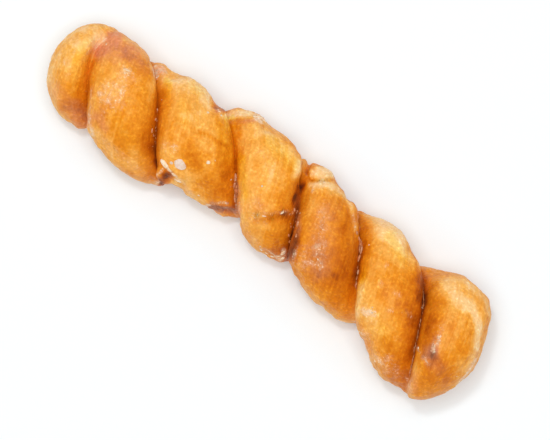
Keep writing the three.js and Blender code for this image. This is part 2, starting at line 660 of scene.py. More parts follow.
# The strokes of each tone from left to right, as rows of a patch's fields: x, y, length, half width, turn,
# strength
PATCHES: Mapping[Tone, Sequence[PatchRow]] = {
    # Pale strokes: paler crust and fry lines, and painted highlights on the lobes and where a crease's shade
    # is lifted
    Tone.PALE_AND_HIGHLIGHT: (
        # left end, up to x = -60
        (-97, -3, 18, 2.6, 90, 0.08), (-91, 0, 16, 6, 80, 0.04), (-90, 8, 12, 3.4, 60, 0.24),
        (-72, 4, 8, 5, -40, 0.08), (-64, 15.8, 5, 2.6, 20, 0.30),
        # left of the middle, up to x = -20
        (-60, 8, 8, 3, -60, 0.13), (-58.6, 15.2, 11, 2.4, 36, 0.14), (-57, -19, 28, 4, -3, 0.14),
        (-52.5, 13, 6, 3, -50, 0.06), (-49, -14, 10, 4, 0, 0.08), (-47.5, 19.6, 12, 2.8, -8, 0.22),
        (-47.5, -16, 10, 4, -20, 0.09), (-36, 8.6, 22, 1.6, 8, 0.08), (-30, 16.6, 6, 3, -40, 0.04),
        (-29.6, 20.6, 10, 1.8, 48, 0.45),
        # middle, up to x = 20
        (1, 17.5, 7, 2.6, -70, 0.36), (3.8, 18.4, 8, 2, -72, 0.09), (6, -6, 8, 4, 50, 0.10),
        (8.8, 22.2, 10, 2.8, 36, 0.42), (9.8, 17.8, 8, 1.7, 40, 0.22), (11.5, -6, 9, 2.6, -60, 0.12),
        (12, 10, 6, 3, -70, 0.06), (12, -4, 8, 2.4, -60, 0.12), (16, 21, 13, 2.2, 8, 0.30),
        (18.6, 11.5, 8, 4, -50, 0.10),
        # right of the middle, up to x = 60
        (27.6, 16.6, 13, 1.6, -38, 0.18), (34.4, 12.4, 8, 2, -50, 0.16), (41, 21.2, 18, 7, -8, 0.22),
        (45, 17, 20, 6, -24, 0.04), (48, -8, 14, 3, -62, 0.14), (49, -9, 14, 2, -60, 0.06),
        (57, -11, 12, 6, -40, 0.12),
        # right end
        (74, -15.5, 10, 4, -50, 0.06), (76.5, 16.4, 14, 4.2, -4, 0.30), (78.6, -13, 9, 1.8, -68, 0.16),
        (87.5, 14, 9, 2.6, -27, 0.42), (93.2, 8.4, 9, 2.4, -58, 0.34), (96.2, 0, 11, 2.2, -80, 0.10),
    ),
    # Brown strokes: browned crust, and painted shade along creases, in notches under the strands and beside
    # folds
    Tone.BROWN: (
        # left end, up to x = -60
        (-87, -13, 14, 5, -40, 0.12), (-81, 10.6, 14, 6.4, 30, 0.08), (-76.5, -15.5, 7, 3, -40, 0.10),
        (-74, 13.6, 16, 4.6, -14, 0.14), (-68.8, -13.3, 10, 4, -30, 0.08), (-62, -10, 18, 7, -25, 0.11),
        # left of the middle, up to x = -20
        (-59, -18, 14, 4, -10, 0.09), (-46, 1, 14, 4, -60, 0.08), (-44.6, -11, 10, 2.4, -30, 0.10),
        (-40, -13.8, 9, 1.8, -20, 0.16), (-36.8, -15.6, 6, 3.4, 60, 0.54), (-36, 18.6, 6, 2.6, 15, 0.28),
        (-36, 1, 16, 8, -30, 0.10), (-36, 6.7, 24, 0.9, 8, 0.11), (-30, -6, 18, 5, -30, 0.06),
        (-27, 17.2, 10, 2, -50, 0.12), (-27, -6, 22, 7, -20, 0.15), (-24, 4, 17, 4, -48, 0.10),
        # middle, up to x = 20
        (-17, -4, 9, 3, -50, 0.10), (-12.8, -12.4, 11, 3, 26, 0.36), (-12.6, -4.2, 11, 1.8, -50, 0.16),
        (-12, 22, 10, 3.4, 0, 0.07), (-3, -3, 6, 3, 20, 0.06), (0, 11, 14, 6, -60, 0.06),
        (1.6, -6.2, 7, 2.2, 38, 0.07), (3.2, 20.4, 5, 0.9, -70, 0.18), (5, 3, 10, 3, -30, 0.12),
        (5, 20.2, 4, 1.7, 60, 0.24), (5.2, -1.2, 9, 2.2, 46, 0.21), (5.4, 15.5, 6, 1.4, -80, 0.16),
        (6.4, 11, 9, 1.6, -82, 0.20), (7.6, 7.6, 6, 1.4, -62, 0.16), (9.8, 20.4, 10, 0.8, 36, 0.20),
        (16.6, -6, 7, 1.6, -60, 0.10), (16.8, -5.6, 13, 2.4, -70, 0.30), (19, -7, 9, 2.4, -66, 0.12),
        # right of the middle, up to x = 60
        (20, 14, 8, 4, -30, 0.09), (23, 17.4, 14, 2.6, -24, 0.12), (27, 0, 26, 8, -56, 0.10),
        (33, 3, 22, 4.4, -58, 0.18), (36, -14, 8, 4, -40, 0.07), (38, 12, 12, 4, -40, 0.08),
        (40, -11, 14, 5, -50, 0.12), (41, 6, 14, 2.6, -58, 0.12), (44.6, -6, 16, 3, -64, 0.12),
        (52, 8, 9, 5, -40, 0.09), (54, 1, 14, 7, -30, 0.10), (56, 8, 14, 6, -50, 0.08),
        # right end
        (61, 3, 12, 4, -50, 0.10), (64.6, 10.6, 13, 3.6, -54, 0.18), (64.8, 4.6, 20, 5, -58, 0.12),
        (68, -16, 8, 4, -45, 0.09), (76, 3, 20, 4.2, -63, 0.20), (77.2, -5, 13, 1.8, -66, 0.14),
        (77.8, -2.5, 16, 3.4, -64, 0.12), (79, -12, 5, 2.4, -60, 0.06), (83, -8, 4, 2.4, -40, 0.24),
        (85.4, -14.4, 7, 3, -60, 0.10), (86.4, -8.8, 11, 4.6, -15, 0.14), (88, 10, 7, 4, -60, 0.06),
        (88, -17, 16, 6, -50, 0.10), (90, -5, 18, 7, -75, 0.10), (91, -12, 14, 6, -60, 0.10),
    ),
    Tone.ROSY: (
        # left end, up to x = -60
        (-91, 4, 10, 4, 80, -0.5), (-88, -13, 10, 5, -40, -0.2), (-86, -6, 14, 4, -58, -0.4),
        (-85.2, 11, 13, 4.6, 76, 0.60), (-82, -15.6, 22, 6.6, -14, 0.65), (-81.4, 9.6, 13, 6.4, 40, 0.55),
        (-79, 15.4, 19, 5.6, 4, 0.45), (-77, -8, 10, 1.6, -54, 0.3), (-72, 13.4, 14, 4.2, -16, 0.32),
        (-72, 4, 16, 7, -50, 0.22), (-71, -7, 12, 5, -45, 0.20), (-68.8, -13.3, 9, 3.6, -20, 0.60),
        (-63.4, 16, 5, 3, 20, 0.8),
        # left of the middle, up to x = -20
        (-60, -11, 16, 6, -30, -0.35), (-57.6, 12.6, 9, 3, -50, -0.7), (-48, 18.4, 8, 3, 0, -0.4),
        (-46, 8, 12, 5, -40, -0.35), (-37, -16.2, 6, 3.4, 60, 0.3), (-35.4, 18.6, 6, 3.2, 25, 0.8),
        (-30, 17, 6, 3, -40, -0.4), (-26, 10, 20, 7, -48, -0.6), (-25, 21, 10, 1.4, 46, 0.6),
        # middle, up to x = 20
        (-14, 2, 18, 3.4, -52, -0.6), (-12.2, -12.2, 12, 3.8, 26, 0.9), (-10.6, -4.6, 11, 2, -50, 0.4),
        (-8, 19, 18, 5, -12, -0.5), (-3, -3.5, 9, 4, 30, 0.35), (11, 4, 15, 1.8, -52, 0.5),
        (16.2, -6, 13, 1.8, -72, 0.5),
        # right of the middle, up to x = 60
        (24, 2, 32, 10, -58, 0.42), (27, -6, 12, 6, -40, 0.25), (37.5, 7.5, 18, 1.8, -56, 0.5),
        (38, 8, 24, 3.4, -56, -0.5), (46, -5, 16, 3.6, -62, -0.4), (48, 17, 14, 4, -20, -0.5),
        (57, 1, 12, 6, -30, 0.25),
        # right end
        (64, -13, 10, 5, -40, -0.4), (80.8, -4, 10, 3, -70, 0.45), (82, 4, 14, 6, -60, 0.25),
        (83, -20.5, 9, 4, -50, 0.5), (84.8, -8.4, 13, 6.4, -20, 0.75), (90, -13, 18, 6, -70, -0.3),
        (98.4, -2, 14, 1.6, -84, 0.4),
    ),
    # Milk-white strokes: pale glaze, and painted highlights and glints on the lobes
    Tone.MILKY: (
        # left end, up to x = -60
        (-93.3, -4, 2.2, 1, -40, 0.5), (-92.2, 1, 2.4, 1.1, -60, 0.6), (-89.7, -7.1, 3, 1.1, 40, 0.5),
        (-89.5, 8.5, 10, 2.4, 60, 0.25), (-87.7, 8.4, 10, 0.9, 82, 0.50), (-77.4, -9, 9, 0.9, -54, 0.35),
        (-75.9, -5.3, 2.2, 1.1, 0, 0.7), (-73, 7, 14, 6, -30, 0.12), (-72.4, 8.1, 3, 1.1, 15, 1),
        (-72, -8, 11, 4, -40, 0.25), (-71.4, -16.6, 9, 1.1, -44, 0.6), (-70.8, -3.4, 12, 5, -20, 0.50),
        (-70.6, 8, 8, 3.6, 0, 0.22), (-70.5, 3, 8, 3.6, -40, 0.25), (-68.8, 0.5, 2.6, 1, 20, 0.7),
        (-64.2, 14.4, 5, 1, -45, 0.6), (-63.8, 15.8, 5, 2.4, 20, 0.5),
        # left of the middle, up to x = -20
        (-57, -19, 28, 3.4, -3, 0.25), (-42, -6, 7, 4, 0, 0.30), (-40.7, -4, 2.6, 1.6, 0, 0.35),
        (-39.4, -16.6, 6, 0.9, -85, 0.8), (-36, -12.6, 10, 0.9, -14, 0.70),
        (-35.2, 16.8, 4, 0.9, -25, 0.8), (-30, -13.8, 10, 1.6, -4, 0.40),
        (-29.6, 20.8, 10, 1.6, 48, 0.30), (-22.9, 24.4, 4.4, 2.2, 10, 1),
        # middle, up to x = 20
        (-15.6, -11.8, 9, 0.8, 46, 0.8), (-13, 14, 8, 3, 10, 0.22), (-11.4, -10.6, 2, 0.8, 30, 0.6),
        (-11, -4.8, 11, 1, -50, 0.45), (-6, 0, 9, 4.4, -50, 0.20), (-2.3, -1.6, 7, 3, 20, 0.18),
        (-2, -6.2, 4, 1.3, 17, 0.45), (0, -7.6, 9, 3, 35, 0.28), (0, -13, 12, 2.4, -12, 0.30),
        (1.2, -3.6, 6, 1.5, 41, 0.35), (4.8, 0, 4.5, 1.5, 55, 0.30), (8, 2.4, 4.5, 1.4, 30, 0.45),
        (9, 22.4, 8, 2, 36, 0.30), (9.7, 14.8, 1.8, 1.1, 60, 0.7), (9.8, 17.8, 7, 1.4, 40, 0.36),
        (12, -14.6, 10, 1, 4, 0.6), (15.8, -11.4, 5, 1.5, -70, 0.9), (16, 20.2, 12, 1.5, 8, 0.34),
        (18.6, 10.4, 10, 4.6, -50, 0.04), (19.6, -10, 7, 1.2, -66, 0.4),
        # right of the middle, up to x = 60
        (22, 4, 18, 4.6, -58, 0.20), (22, -8, 9, 4, -50, 0.28), (23, 3, 26, 8, -58, 0.12),
        (24, -2, 3.4, 1.6, 40, 0.28), (25, -10, 6, 4, -40, 0.12), (26, -4, 10, 4.6, -50, 0.10),
        (28, 16.4, 12, 1.1, -38, 0.5), (28, -6.6, 4.4, 2.4, 20, 0.55), (42, 21, 14, 3.2, -8, 0.30),
        (48, -7, 10, 1.2, -62, 0.15), (49, 9.5, 2, 1.1, 0, 0.6), (51.4, 2.4, 2, 1.2, 0, 0.7),
        (54.2, -8.9, 6, 2.2, 25, 0.8), (56, -16.4, 8, 2.6, -30, 0.30), (58, -12, 10, 4, -30, 0.18),
        (58.5, 2.9, 3.4, 1.8, 0, 0.5), (59.9, -3.7, 3.4, 1.1, 40, 0.5),
        # right end
        (62, -19.6, 12, 3.6, -25, 0.28), (66, -0.4, 5, 0.6, 8, 0.6), (68.9, -10.3, 4, 1.6, 20, 0.3),
        (70, -21.4, 9, 2.2, -20, 0.35), (74, -20, 11, 4, -20, 0.35), (77.4, -9, 3, 0.9, -20, 0.6),
        (80.4, -1, 12, 3, -70, 0.28), (80.9, -4.6, 4, 1.2, -60, 0.6), (81.1, -1.8, 3.4, 1.1, -60, 0.65),
        (81.6, -10.6, 5, 1.3, -10, 0.6), (83, -21.5, 6, 1.8, -50, 0.4), (88, 13.6, 9, 1.8, -27, 0.25),
        (93.4, 8.4, 9, 1.8, -58, 0.30), (96.6, 0, 10, 1.6, -80, 0.30), (98.6, -4, 12, 1.4, -86, 0.9),
    ),
    Tone.RAISED: (
        # left end, up to x = -60
        (-74, 19, 26, 7, 0, 0.7), (-73, -19.8, 7, 4.4, 0, 1), (-62, 17, 8, 3.4, 15, 0.4),
        # left of the middle, up to x = -20
        (-58.5, 19, 7, 4.4, 30, -1.2), (-50.5, 22, 16, 7, 0, 0.8), (-40.7, -4, 2.6, 1.6, 0, 0.5),
        (-38.4, -14.4, 6, 1.8, -35, -1), (-38.4, 19, 5, 3.4, 0, -0.5), (-37.9, -17.2, 7, 4, -50, 1.9),
        (-36, 6.6, 24, 0.9, 8, -0.3), (-33.2, 20.8, 7, 4.4, 38, 1.1), (-31.6, -15.4, 7, 3.6, 0, -1),
        (-24, -14.6, 9, 3.2, 0, 0.8),
        # middle, up to x = 20
        (-18, 24.6, 7, 3.6, 0, -0.6), (-11.6, -12.6, 10, 2.4, 28, -0.6), (-8, -12.4, 5, 3, 0, -1.2),
        (-2.4, -6, 5, 1.2, 17, 0.5), (-2, 24, 18, 7, -14, 0.9), (0.6, 20, 9, 3.6, -65, 0.9),
        (0.9, -3.6, 7, 1.3, 41, 0.7), (2.6, -5.2, 7, 1, 41, -0.6), (3.2, 20.6, 5, 1.4, -70, -1.2),
        (4.2, -0.4, 6, 1.3, 55, 0.7), (5.8, -1.8, 6, 1, 55, -0.6), (7.4, 2.2, 5, 1.2, 30, 0.6),
        (8.4, 22.4, 9, 3, 36, 0.8), (9.8, 20.5, 10, 1.2, 36, -0.7), (12.5, -16, 7, 3.6, 0, -1.1),
        (19.5, 23.6, 10, 3.4, -18, -1.2),
        # right of the middle, up to x = 60
        (23, -15.4, 9, 3.8, -15, -1.2), (27.6, 19.4, 6, 3, -20, 0.8), (37, 22, 7, 3.6, 20, -0.6),
        (42, -18.6, 7, 3.6, 0, -1), (43, 24, 17, 8, 0, 1.3), (52, 22, 10, 6, -35, -0.8),
        # right end
        (62, -20.4, 7, 3.6, -25, -1), (66, -0.4, 5, 0.8, 8, 0.4), (67, 22, 12, 6, 25, -1),
        (68, -24, 14, 7, -25, 1.1), (80, 26, 20, 9, 0, 1.3), (81.2, -4.6, 6, 1.4, -75, 0.6),
        (83.6, -8, 7, 3.2, -25, -1.6), (90, 20, 10, 7, -45, 0.4), (100, 10, 18, 9, -66, -1.5),
    ),
}

# How much browner the crust is than elsewhere, and how dark its creases are with painted shade and
# browner crust, each as pairs of x and share
BAKE: Knots = ((-95, -0.05), (-70, 0.02), (-45, 0.0), (-10, -0.02), (24, 0.13), (46, 0.02), (90, 0.05))
CREASE_DARKNESS: Knots = (
    (-88, 0.2), (-80, 0.8), (-50, 1.0), (-20, 0.55), (10, 1.0), (38, 1.0), (48, 0.35), (70, 1.0),
)


@dataclass(frozen=True)
class CrustSizes(TwistSizes):
    """The crust's relief, browned tones, painted shade and painted highlights, besides the sizes of the
    twist.

    The relief is in millimetres, and so are the height, width and wander of the fry line, which is the pale
    band round the doughnut's sides. The rest are shares and powers.
    """

    shrinking: float = 0.5
    swell: float = 1.3
    lumps: float = 0.7
    wrinkles: float = 0.3
    pores: float = 0.28
    blisters: float = 0.4
    crease_calm: float = 0.8
    calm_narrowness: float = 3.0
    fry_line_height: float = 20.0
    fry_line_tilt: float = 0.36
    fry_line_width: float = 5.0
    fry_line_wander: float = 6.0
    fry_line_raggedness: float = 0.6
    fry_line_paling: float = 0.14
    # Painted shade, with some browning, in the creases: broad on one flank, narrow on the other
    crease_browning_and_shade: float = 0.42
    narrow_flank: float = 2.0
    broad_flank: float = 0.5
    # A thin painted shade line along the bottom of each crease
    seam_shade: float = 0.16
    seam_narrowness: float = 10.0
    broad_patches: float = 0.14
    small_patches: float = 0.22
    streaks: float = 0.08
    stroke_raggedness: float = 0.35
    underside_blush: float = 0.2
    # Pale glaze with a painted sheen along the sides
    rim_milk_and_sheen: float = 0.18


@dataclass(frozen=True)
class CrustFades:
    """From where to where things on the crust come in. The first five are heights in millimetres."""

    colour_strokes: Span = (8.5, 14.5)
    raised_strokes: Span = (6.0, 12.0)
    relief: Span = (0.2, 5.0)
    underside: Span = (14.0, 4.0)
    rim: Span = (27.0, 16.0)
    facing_up: Span = (-0.2, 0.15)  # the upward part of the normal
    flank: Span = (-0.3, 0.3)  # from one side of a crease to the other
    seam: Span = (-86.0, -78.0)  # millimetres along X
    fry_line: Span = (1.0, 0.1)  # shares of the line's width
    blister_choice: Span = (0.62, 0.7)  # a cell's random number
    blister_edge: Span = (0.34, 0.05)  # shares of a cell


class Crust:
    """The fried crust: the whole doughnut but for its loose glaze."""

    name = "twisted_crust"
    blister_spacing = 7.0

    def __init__(self, sizes: CrustSizes, fades: CrustFades) -> None:
        """Starts the tree that makes the crust.

        Args:
            sizes: Its sizes.
            fades: Where things on it come in.
        """
        self.tree = ShapeTree(self.name, sizes)
        self.fades = fades
        self.twist = Twist(self.tree)
        self.stroke = SoftStroke()

    def build(self, finish: bpy.types.Material) -> bpy.types.Object:
        """Makes the crust.

        Args:
            finish: Its material.

        Returns:
            The piece.
        """
        tree = self.tree
        shaped = self._shaped()
        place = tree.position()
        strand = tree.stored("strand", "FLOAT_VECTOR")
        crease = tree.stored("crease")
        toned = shaped
        for name, value in self._tones(place, strand, crease).items():
            toned = tree.store(toned, name, value)
        relief = self._relief(place, strand, crease)
        risen = tree.moved(toned, tree.scaled(tree.normal(), relief))
        return tree.piece(risen, finish)

    def _shaped(self) -> Value:
        """Makes a fine closed grid and moves it onto the twist.

        Returns:
            The grid, which carries how near a crease is, on which flank of it, and the place on the strand.
        """
        tree, size = self.tree, self.tree.size
        grid = tree.ball(size.around, size.along)
        ball_x, ball_y, ball_z = tree.parts(tree.position())
        even = tree.math("ARCTAN2", ball_y, ball_x)
        around = even + size.crowding / 2.0 * tree.math("SINE", even * 2.0)
        share = tree.math("ARCCOSINE", ball_z * -1.0) / math.pi

        left_arc = QUARTER_TURN / 2 * (size.left_end + GIRTH[0][1])
        right_arc = QUARTER_TURN / 2 * (size.right_end + GIRTH[-1][1])
        straight = size.length - size.left_end - size.right_end
        travel = share * (left_arc + straight + right_arc)
        left_angle = self._clamped(travel / left_arc, 1.0) * QUARTER_TURN
        right_angle = self._clamped((travel - left_arc - straight) / right_arc, 1.0) * QUARTER_TURN
        x = (
            size.length * -0.5
            + size.left_end * (1.0 - tree.math("COSINE", left_angle))
            + self._clamped(travel - left_arc, straight)
            + size.right_end * tree.math("SINE", right_angle)
        )
        closing = tree.math("SINE", left_angle) * tree.math("COSINE", right_angle)

        dip, groove = self.twist.dip(self.twist.winding(x), around)
        point, reach = self.twist.point(x, closing, around, dip, groove)
        strand = tree.joined(x, reach * tree.math("COSINE", around), reach * tree.math("SINE", around))
        marked = tree.store(grid, "crease", dip)
        marked = tree.store(marked, "flank", tree.math("SINE", around * -2.0))
        marked = tree.store(marked, "strand", strand, "FLOAT_VECTOR")
        return tree.placed(marked, point)

    def _clamped(self, value: Value, high: Term) -> Value:
        """A value kept between 0 and high."""
        return self.tree.math("MINIMUM", self.tree.math("MAXIMUM", value, 0.0), high)

    def _strokes(self, place: Value, tone: Tone) -> Value:
        """The sum of the patches of a tone, each fading out at its edge and down the doughnut's sides.

        Args:
            place: Where it is read.
            tone: Which patches.

        Returns:
            The sum.
        """
        tree, fades = self.tree, self.fades
        raised = tone is Tone.RAISED
        ragged: Term = 0.0
        if not raised:
            ragged = tree.noise(place, grain=3.0, seed=7.0) * tree.size.stroke_raggedness
        total: Term = 0.0
        for row in PATCHES[tone]:
            patch = Patch(*row)
            sockets = {
                "Before": total,
                "Place": place,
                "Ragged": ragged,
                "Middle": (patch.x, patch.y, 0.0),
                "Turn": math.radians(patch.turn),
                "Length": patch.length,
                "Width": patch.width,
                "Strength": patch.strength,
            }
            total = tree.give("GeometryNodeGroup", "Sum", {"node_tree": self.stroke.group}, sockets)
        height = tree.parts(place)[2]
        if raised:
            return total * tree.smooth(height, *fades.raised_strokes)
        facing_up = tree.smooth(tree.parts(tree.normal())[2], *fades.facing_up)
        return total * tree.smooth(height, *fades.colour_strokes) * facing_up

    def _tones(self, place: Value, strand: Value, crease: Value) -> dict[str, Value]:
        """How the crust is browned and glazed from place to place, with painted shade and highlights.

        Args:
            place: Where it is read.
            strand: The same place with the twist undone.
            crease: How near it is to a crease, from 0 to 1.

        Returns:
            The attributes by name: tone with painted light about zero, and rosy and glaze-and-highlight
                shares.
        """
        tree, size, fades = self.tree, self.tree.size, self.fades
        x, y, z = tree.parts(place)
        streaks = tree.streaks(strand, squeeze=0.25, grain=5.0, seed=3.0)
        wander = tree.noise(place, grain=22.0, seed=11.0) * size.fry_line_wander
        line = size.fry_line_height + size.fry_line_tilt * y + wander
        from_line = tree.math("ABSOLUTE", z - line) / size.fry_line_width
        fry_line = tree.smooth(from_line + streaks * size.fry_line_raggedness, *fades.fry_line)
        # Painted shade falls broad on one flank of each crease and narrow on the other
        narrowness = tree.smooth(tree.stored("flank"), *fades.flank, size.narrow_flank, size.broad_flank)
        darkness = self.twist.eased(CREASE_DARKNESS, x)
        browning_and_painted_light = (
            self.twist.eased(BAKE, x)
            # Painted shade with some browning in the creases, and a painted shade line along their bottoms
            + crease ** narrowness * size.crease_browning_and_shade * darkness
            + crease ** size.seam_narrowness * size.seam_shade * tree.smooth(x, *fades.seam)
            - fry_line * size.fry_line_paling
            + tree.noise(place, grain=24.0, seed=1.0) * size.broad_patches
            + tree.noise(place, grain=8.0, seed=2.0, detail=4.0) * size.small_patches
            + streaks * size.streaks
            # Brown strokes darken the crust and paint shade; pale strokes lighten it and paint highlights
            + self._strokes(place, Tone.BROWN)
            - self._strokes(place, Tone.PALE_AND_HIGHLIGHT)
        )
        rosy = self._strokes(place, Tone.ROSY) + tree.smooth(z, *fades.underside) * size.underside_blush
        # Pale glaze with a painted sheen down the sides, away from the creases
        rim = tree.smooth(z, *fades.rim) * (1.0 - crease)
        milky = self._strokes(place, Tone.MILKY) + rim * size.rim_milk_and_sheen
        return {"browning_and_painted_light": browning_and_painted_light, "rosy": rosy, "milky": milky}

    def _relief(self, place: Value, strand: Value, crease: Value) -> Value:
        """How far the crust rises or sinks, calm in the creases and on the underside.

        Args:
            place: Where it is read.
            strand: The same place with the twist undone.
            crease: How near it is to a crease, from 0 to 1.

        Returns:
            The height in millimetres.
        """
        tree, size, fades = self.tree, self.tree.size, self.fades
        z = tree.parts(place)[2]
        sockets = {"Vector": place, "Scale": 1.0 / self.blister_spacing}
        cells = tree.node("ShaderNodeTexVoronoi", {}, sockets)
        chosen = tree.smooth(tree.parts(tree.output(cells, "Color"))[0], *fades.blister_choice)
        blister = tree.smooth(tree.output(cells, "Distance"), *fades.blister_edge) * chosen
        height = (
            tree.noise(place, grain=17.0, seed=4.0) * size.swell
            + tree.noise(place, grain=6.5, seed=8.0, detail=3.0) * size.lumps
            + tree.streaks(strand, squeeze=0.3, grain=3.2, seed=5.0, detail=3.0) * size.wrinkles
            + tree.noise(place, grain=1.9, seed=9.0) * size.pores
            + blister * size.blisters
            - size.shrinking
        )
        calm = (1.0 - crease ** size.calm_narrowness * size.crease_calm) * tree.smooth(z, *fades.relief)
        return height * calm + self._strokes(place, Tone.RAISED)


@dataclass(frozen=True)
class CreaseRun:
    """Where glaze has gathered along a crease.

    It has the crease's side, 1 or -1, the run's ends along X, how many lumps lie there, and, in
    millimetres, how large the largest is and how far they lie from the crease. Stretch is their length over
    their width, and disorder is how far they are turned out of the crease's line, in radians.
    """

    side: int
    from_x: float
    to_x: float
    lumps: int
    largest: float
    scatter: float
    stretch: float
    disorder: float


RUNS: Sequence[CreaseRun] = (
    CreaseRun(1, -82.0, -73.0, 8, 0.30, 0.6, 2.0, 0.4),
    CreaseRun(-1, -58.0, -46.0, 12, 0.36, 1.4, 1.6, 0.8),
    CreaseRun(1, -17.0, -8.0, 16, 1.30, 0.8, 2.8, 0.3),
    CreaseRun(-1, 9.6, 18.0, 20, 0.90, 1.8, 1.6, 0.7),
    CreaseRun(1, 31.0, 46.0, 24, 0.95, 1.2, 2.6, 0.4),
    CreaseRun(-1, 62.0, 81.0, 80, 0.26, 0.3, 4.5, 0.1),
)


@dataclass(frozen=True)
class CreaseLumpSizes(TwistSizes):
    """The sizes of the lumps of glaze in the creases, besides those of the twist.

    The smallest lump is in millimetres, and the slant and the tilt are in radians. The higher the
    smallness, the more of the lumps are small. The rest are shares of a lump's size, and facets.
    """

    smallest: float = 0.15
    smallness: float = 2.2
    shortest: float = 0.6
    longest: float = 1.3
    narrowest: float = 0.6
    widest: float = 1.1
    flatness: float = 0.7
    unevenness: float = 0.5
    slant: float = 0.96
    tilt: float = 0.5
    segments: int = 8
    rings: int = 5


class CreaseLumps:
    """The lumps of glaze that ran down into the creases and dried there."""

    name = "crease_glaze"
    seeds_per_run = 10

    def __init__(self, sizes: CreaseLumpSizes) -> None:
        """Starts the tree that makes the lumps."""
        self.tree = ShapeTree(self.name, sizes)
        self.twist = Twist(self.tree)

    def build(self, finish: bpy.types.Material) -> bpy.types.Object:
        """Lays the lumps along every run.

        Args:
            finish: Their material.

        Returns:
            The piece.
        """
        tree, size = self.tree, self.tree.size
        ball = tree.ball(size.segments, size.rings)
        lump = tree.uneven(ball, grain=1.1, seed=4.0, depth=size.unevenness)
        runs = (self._laid(lump, run, self.seeds_per_run * number) for number, run in enumerate(RUNS))
        return tree.piece(tree.gathered(runs), finish)

    def _laid(self, lump: Value, run: CreaseRun, seed: int) -> Value:
        """The lumps of one run, each on the wall of its crease.

        Args:
            lump: The lump that is repeated.
            run: Where they lie.
            seed: Which random places and sizes they have.

        Returns:
            The lumps.
        """
        tree, size = self.tree, self.tree.size
        row = tree.give("GeometryNodePoints", "Points", {}, {"Count": run.lumps})
        x = tree.random(run.from_x, run.to_x, seed)
        aside = tree.random(-1.0, 1.0, seed + 1) * tree.random(0.0, 1.0, seed + 2)
        bottom = GIRTH[0][1] - tree.sizes.crease_depth
        around = aside * (run.scatter / bottom) + run.side * QUARTER_TURN
        dip, groove = self.twist.dip(self.twist.winding(x), around)
        point, _ = self.twist.point(x, 1.0, around, dip, groove)
        placed = tree.placed(row, point)
        growth = tree.random(0.0, 1.0, seed + 3) ** size.smallness
        big = growth * (run.largest - size.smallest) + size.smallest
        scale = tree.joined(
            big * tree.random(size.shortest, size.longest, seed + 4) * run.stretch,
            big * tree.random(size.narrowest, size.widest, seed + 5),
            big * size.flatness,
        )
        tilts = [tree.random(size.tilt * -1.0, size.tilt, seed + 6 + axis) for axis in range(2)]
        slant = tree.random(-run.disorder, run.disorder, seed + 8) - size.slant
        return tree.repeated(lump, placed, tree.joined(*tilts, slant), scale)


@dataclass(frozen=True)
class FlakeSizes:
    """The sizes of the flakes and grains of dried glaze.

    Densities are in flakes for each square millimetre, and the smallest and the largest flake are in
    millimetres. The higher the smallness, the more of the flakes are small. The rest are shares of a flake's
    size, and seeds.
    """

    density: float = 0.0005
    milky_density: float = 0.4
    crease_density: float = 0.05
    smallest: float = 0.08
    largest: float = 0.55
    smallness: float = 2.5
    shortest: float = 0.8
    longest: float = 1.7
    narrowest: float = 0.6
    widest: float = 1.0
    flatness: float = 0.28
    chipping: float = 0.45
    seed: int = 14
    spin_seed: int = 31
    growth_seed: int = 32
    length_seed: int = 33
    width_seed: int = 34


class GlazeFlakes:
    """Flakes and grains of dried glaze on the crust.

    They come in with height, where glaze and painted highlights are, towards creases and in clusters.
    """

    name = "glaze_flakes"
    heights: Span = (8.0, 16.0)
    milky_patches: Span = (0.4, 0.95)
    creases: Span = (0.35, 0.8)
    clusters: Span = (0.0, 0.35)

    def __init__(self, sizes: FlakeSizes) -> None:
        """Starts the tree that scatters the flakes."""
        self.tree = ShapeTree(self.name, sizes)

    def build(self, crust: bpy.types.Object, finish: bpy.types.Material) -> bpy.types.Object:
        """Scatters the flakes over the crust.

        Args:
            crust: What they lie on.
            finish: Their material.

        Returns:
            The piece.
        """
        tree, size = self.tree, self.tree.size
        place = tree.position()
        clustered = tree.smooth(tree.noise(place, grain=7.0, seed=21.0), *self.clusters)
        density = (
            size.density
            + size.milky_density * tree.smooth(tree.stored("milky"), *self.milky_patches)
            + size.crease_density * tree.smooth(tree.stored("crease"), *self.creases) * clustered
        ) * tree.smooth(tree.parts(place)[2], *self.heights)
        spread = tree.node(
            "GeometryNodeDistributePointsOnFaces", {"distribute_method": "RANDOM"},
            {"Mesh": tree.ground(), "Density": density, "Seed": size.seed},
        )
        spin = tree.give(
            "FunctionNodeAxisAngleToRotation", "Rotation", {},
            {"Axis": (0.0, 0.0, 1.0), "Angle": tree.random(0.0, 2 * math.pi, size.spin_seed)},
        )
        turned = tree.give(
            "FunctionNodeRotateRotation", "Rotation", {"rotation_space": "LOCAL"},
            {"Rotation": tree.output(spread, "Rotation"), "Rotate By": spin},
        )
        growth = tree.random(0.0, 1.0, size.growth_seed) ** size.smallness
        big = growth * (size.largest - size.smallest) + size.smallest
        scale = tree.joined(
            big * tree.random(size.shortest, size.longest, size.length_seed),
            big * tree.random(size.narrowest, size.widest, size.width_seed),
            big * size.flatness,
        )
        speck = tree.give("GeometryNodeMeshIcoSphere", "Mesh", {}, {"Radius": 1.0, "Subdivisions": 1})
        chipped = tree.uneven(speck, grain=1.1, seed=4.0, depth=size.chipping)
        flakes = tree.repeated(chipped, tree.output(spread, "Points"), turned, scale)
        return tree.piece(flakes, finish, crust.data)


@dataclass(frozen=True)
class Blob:
    """A thick drop of glaze on the top of the crust, in millimetres and degrees."""

    x: float
    y: float
    length: float
    width: float
    height: float
    turn: float


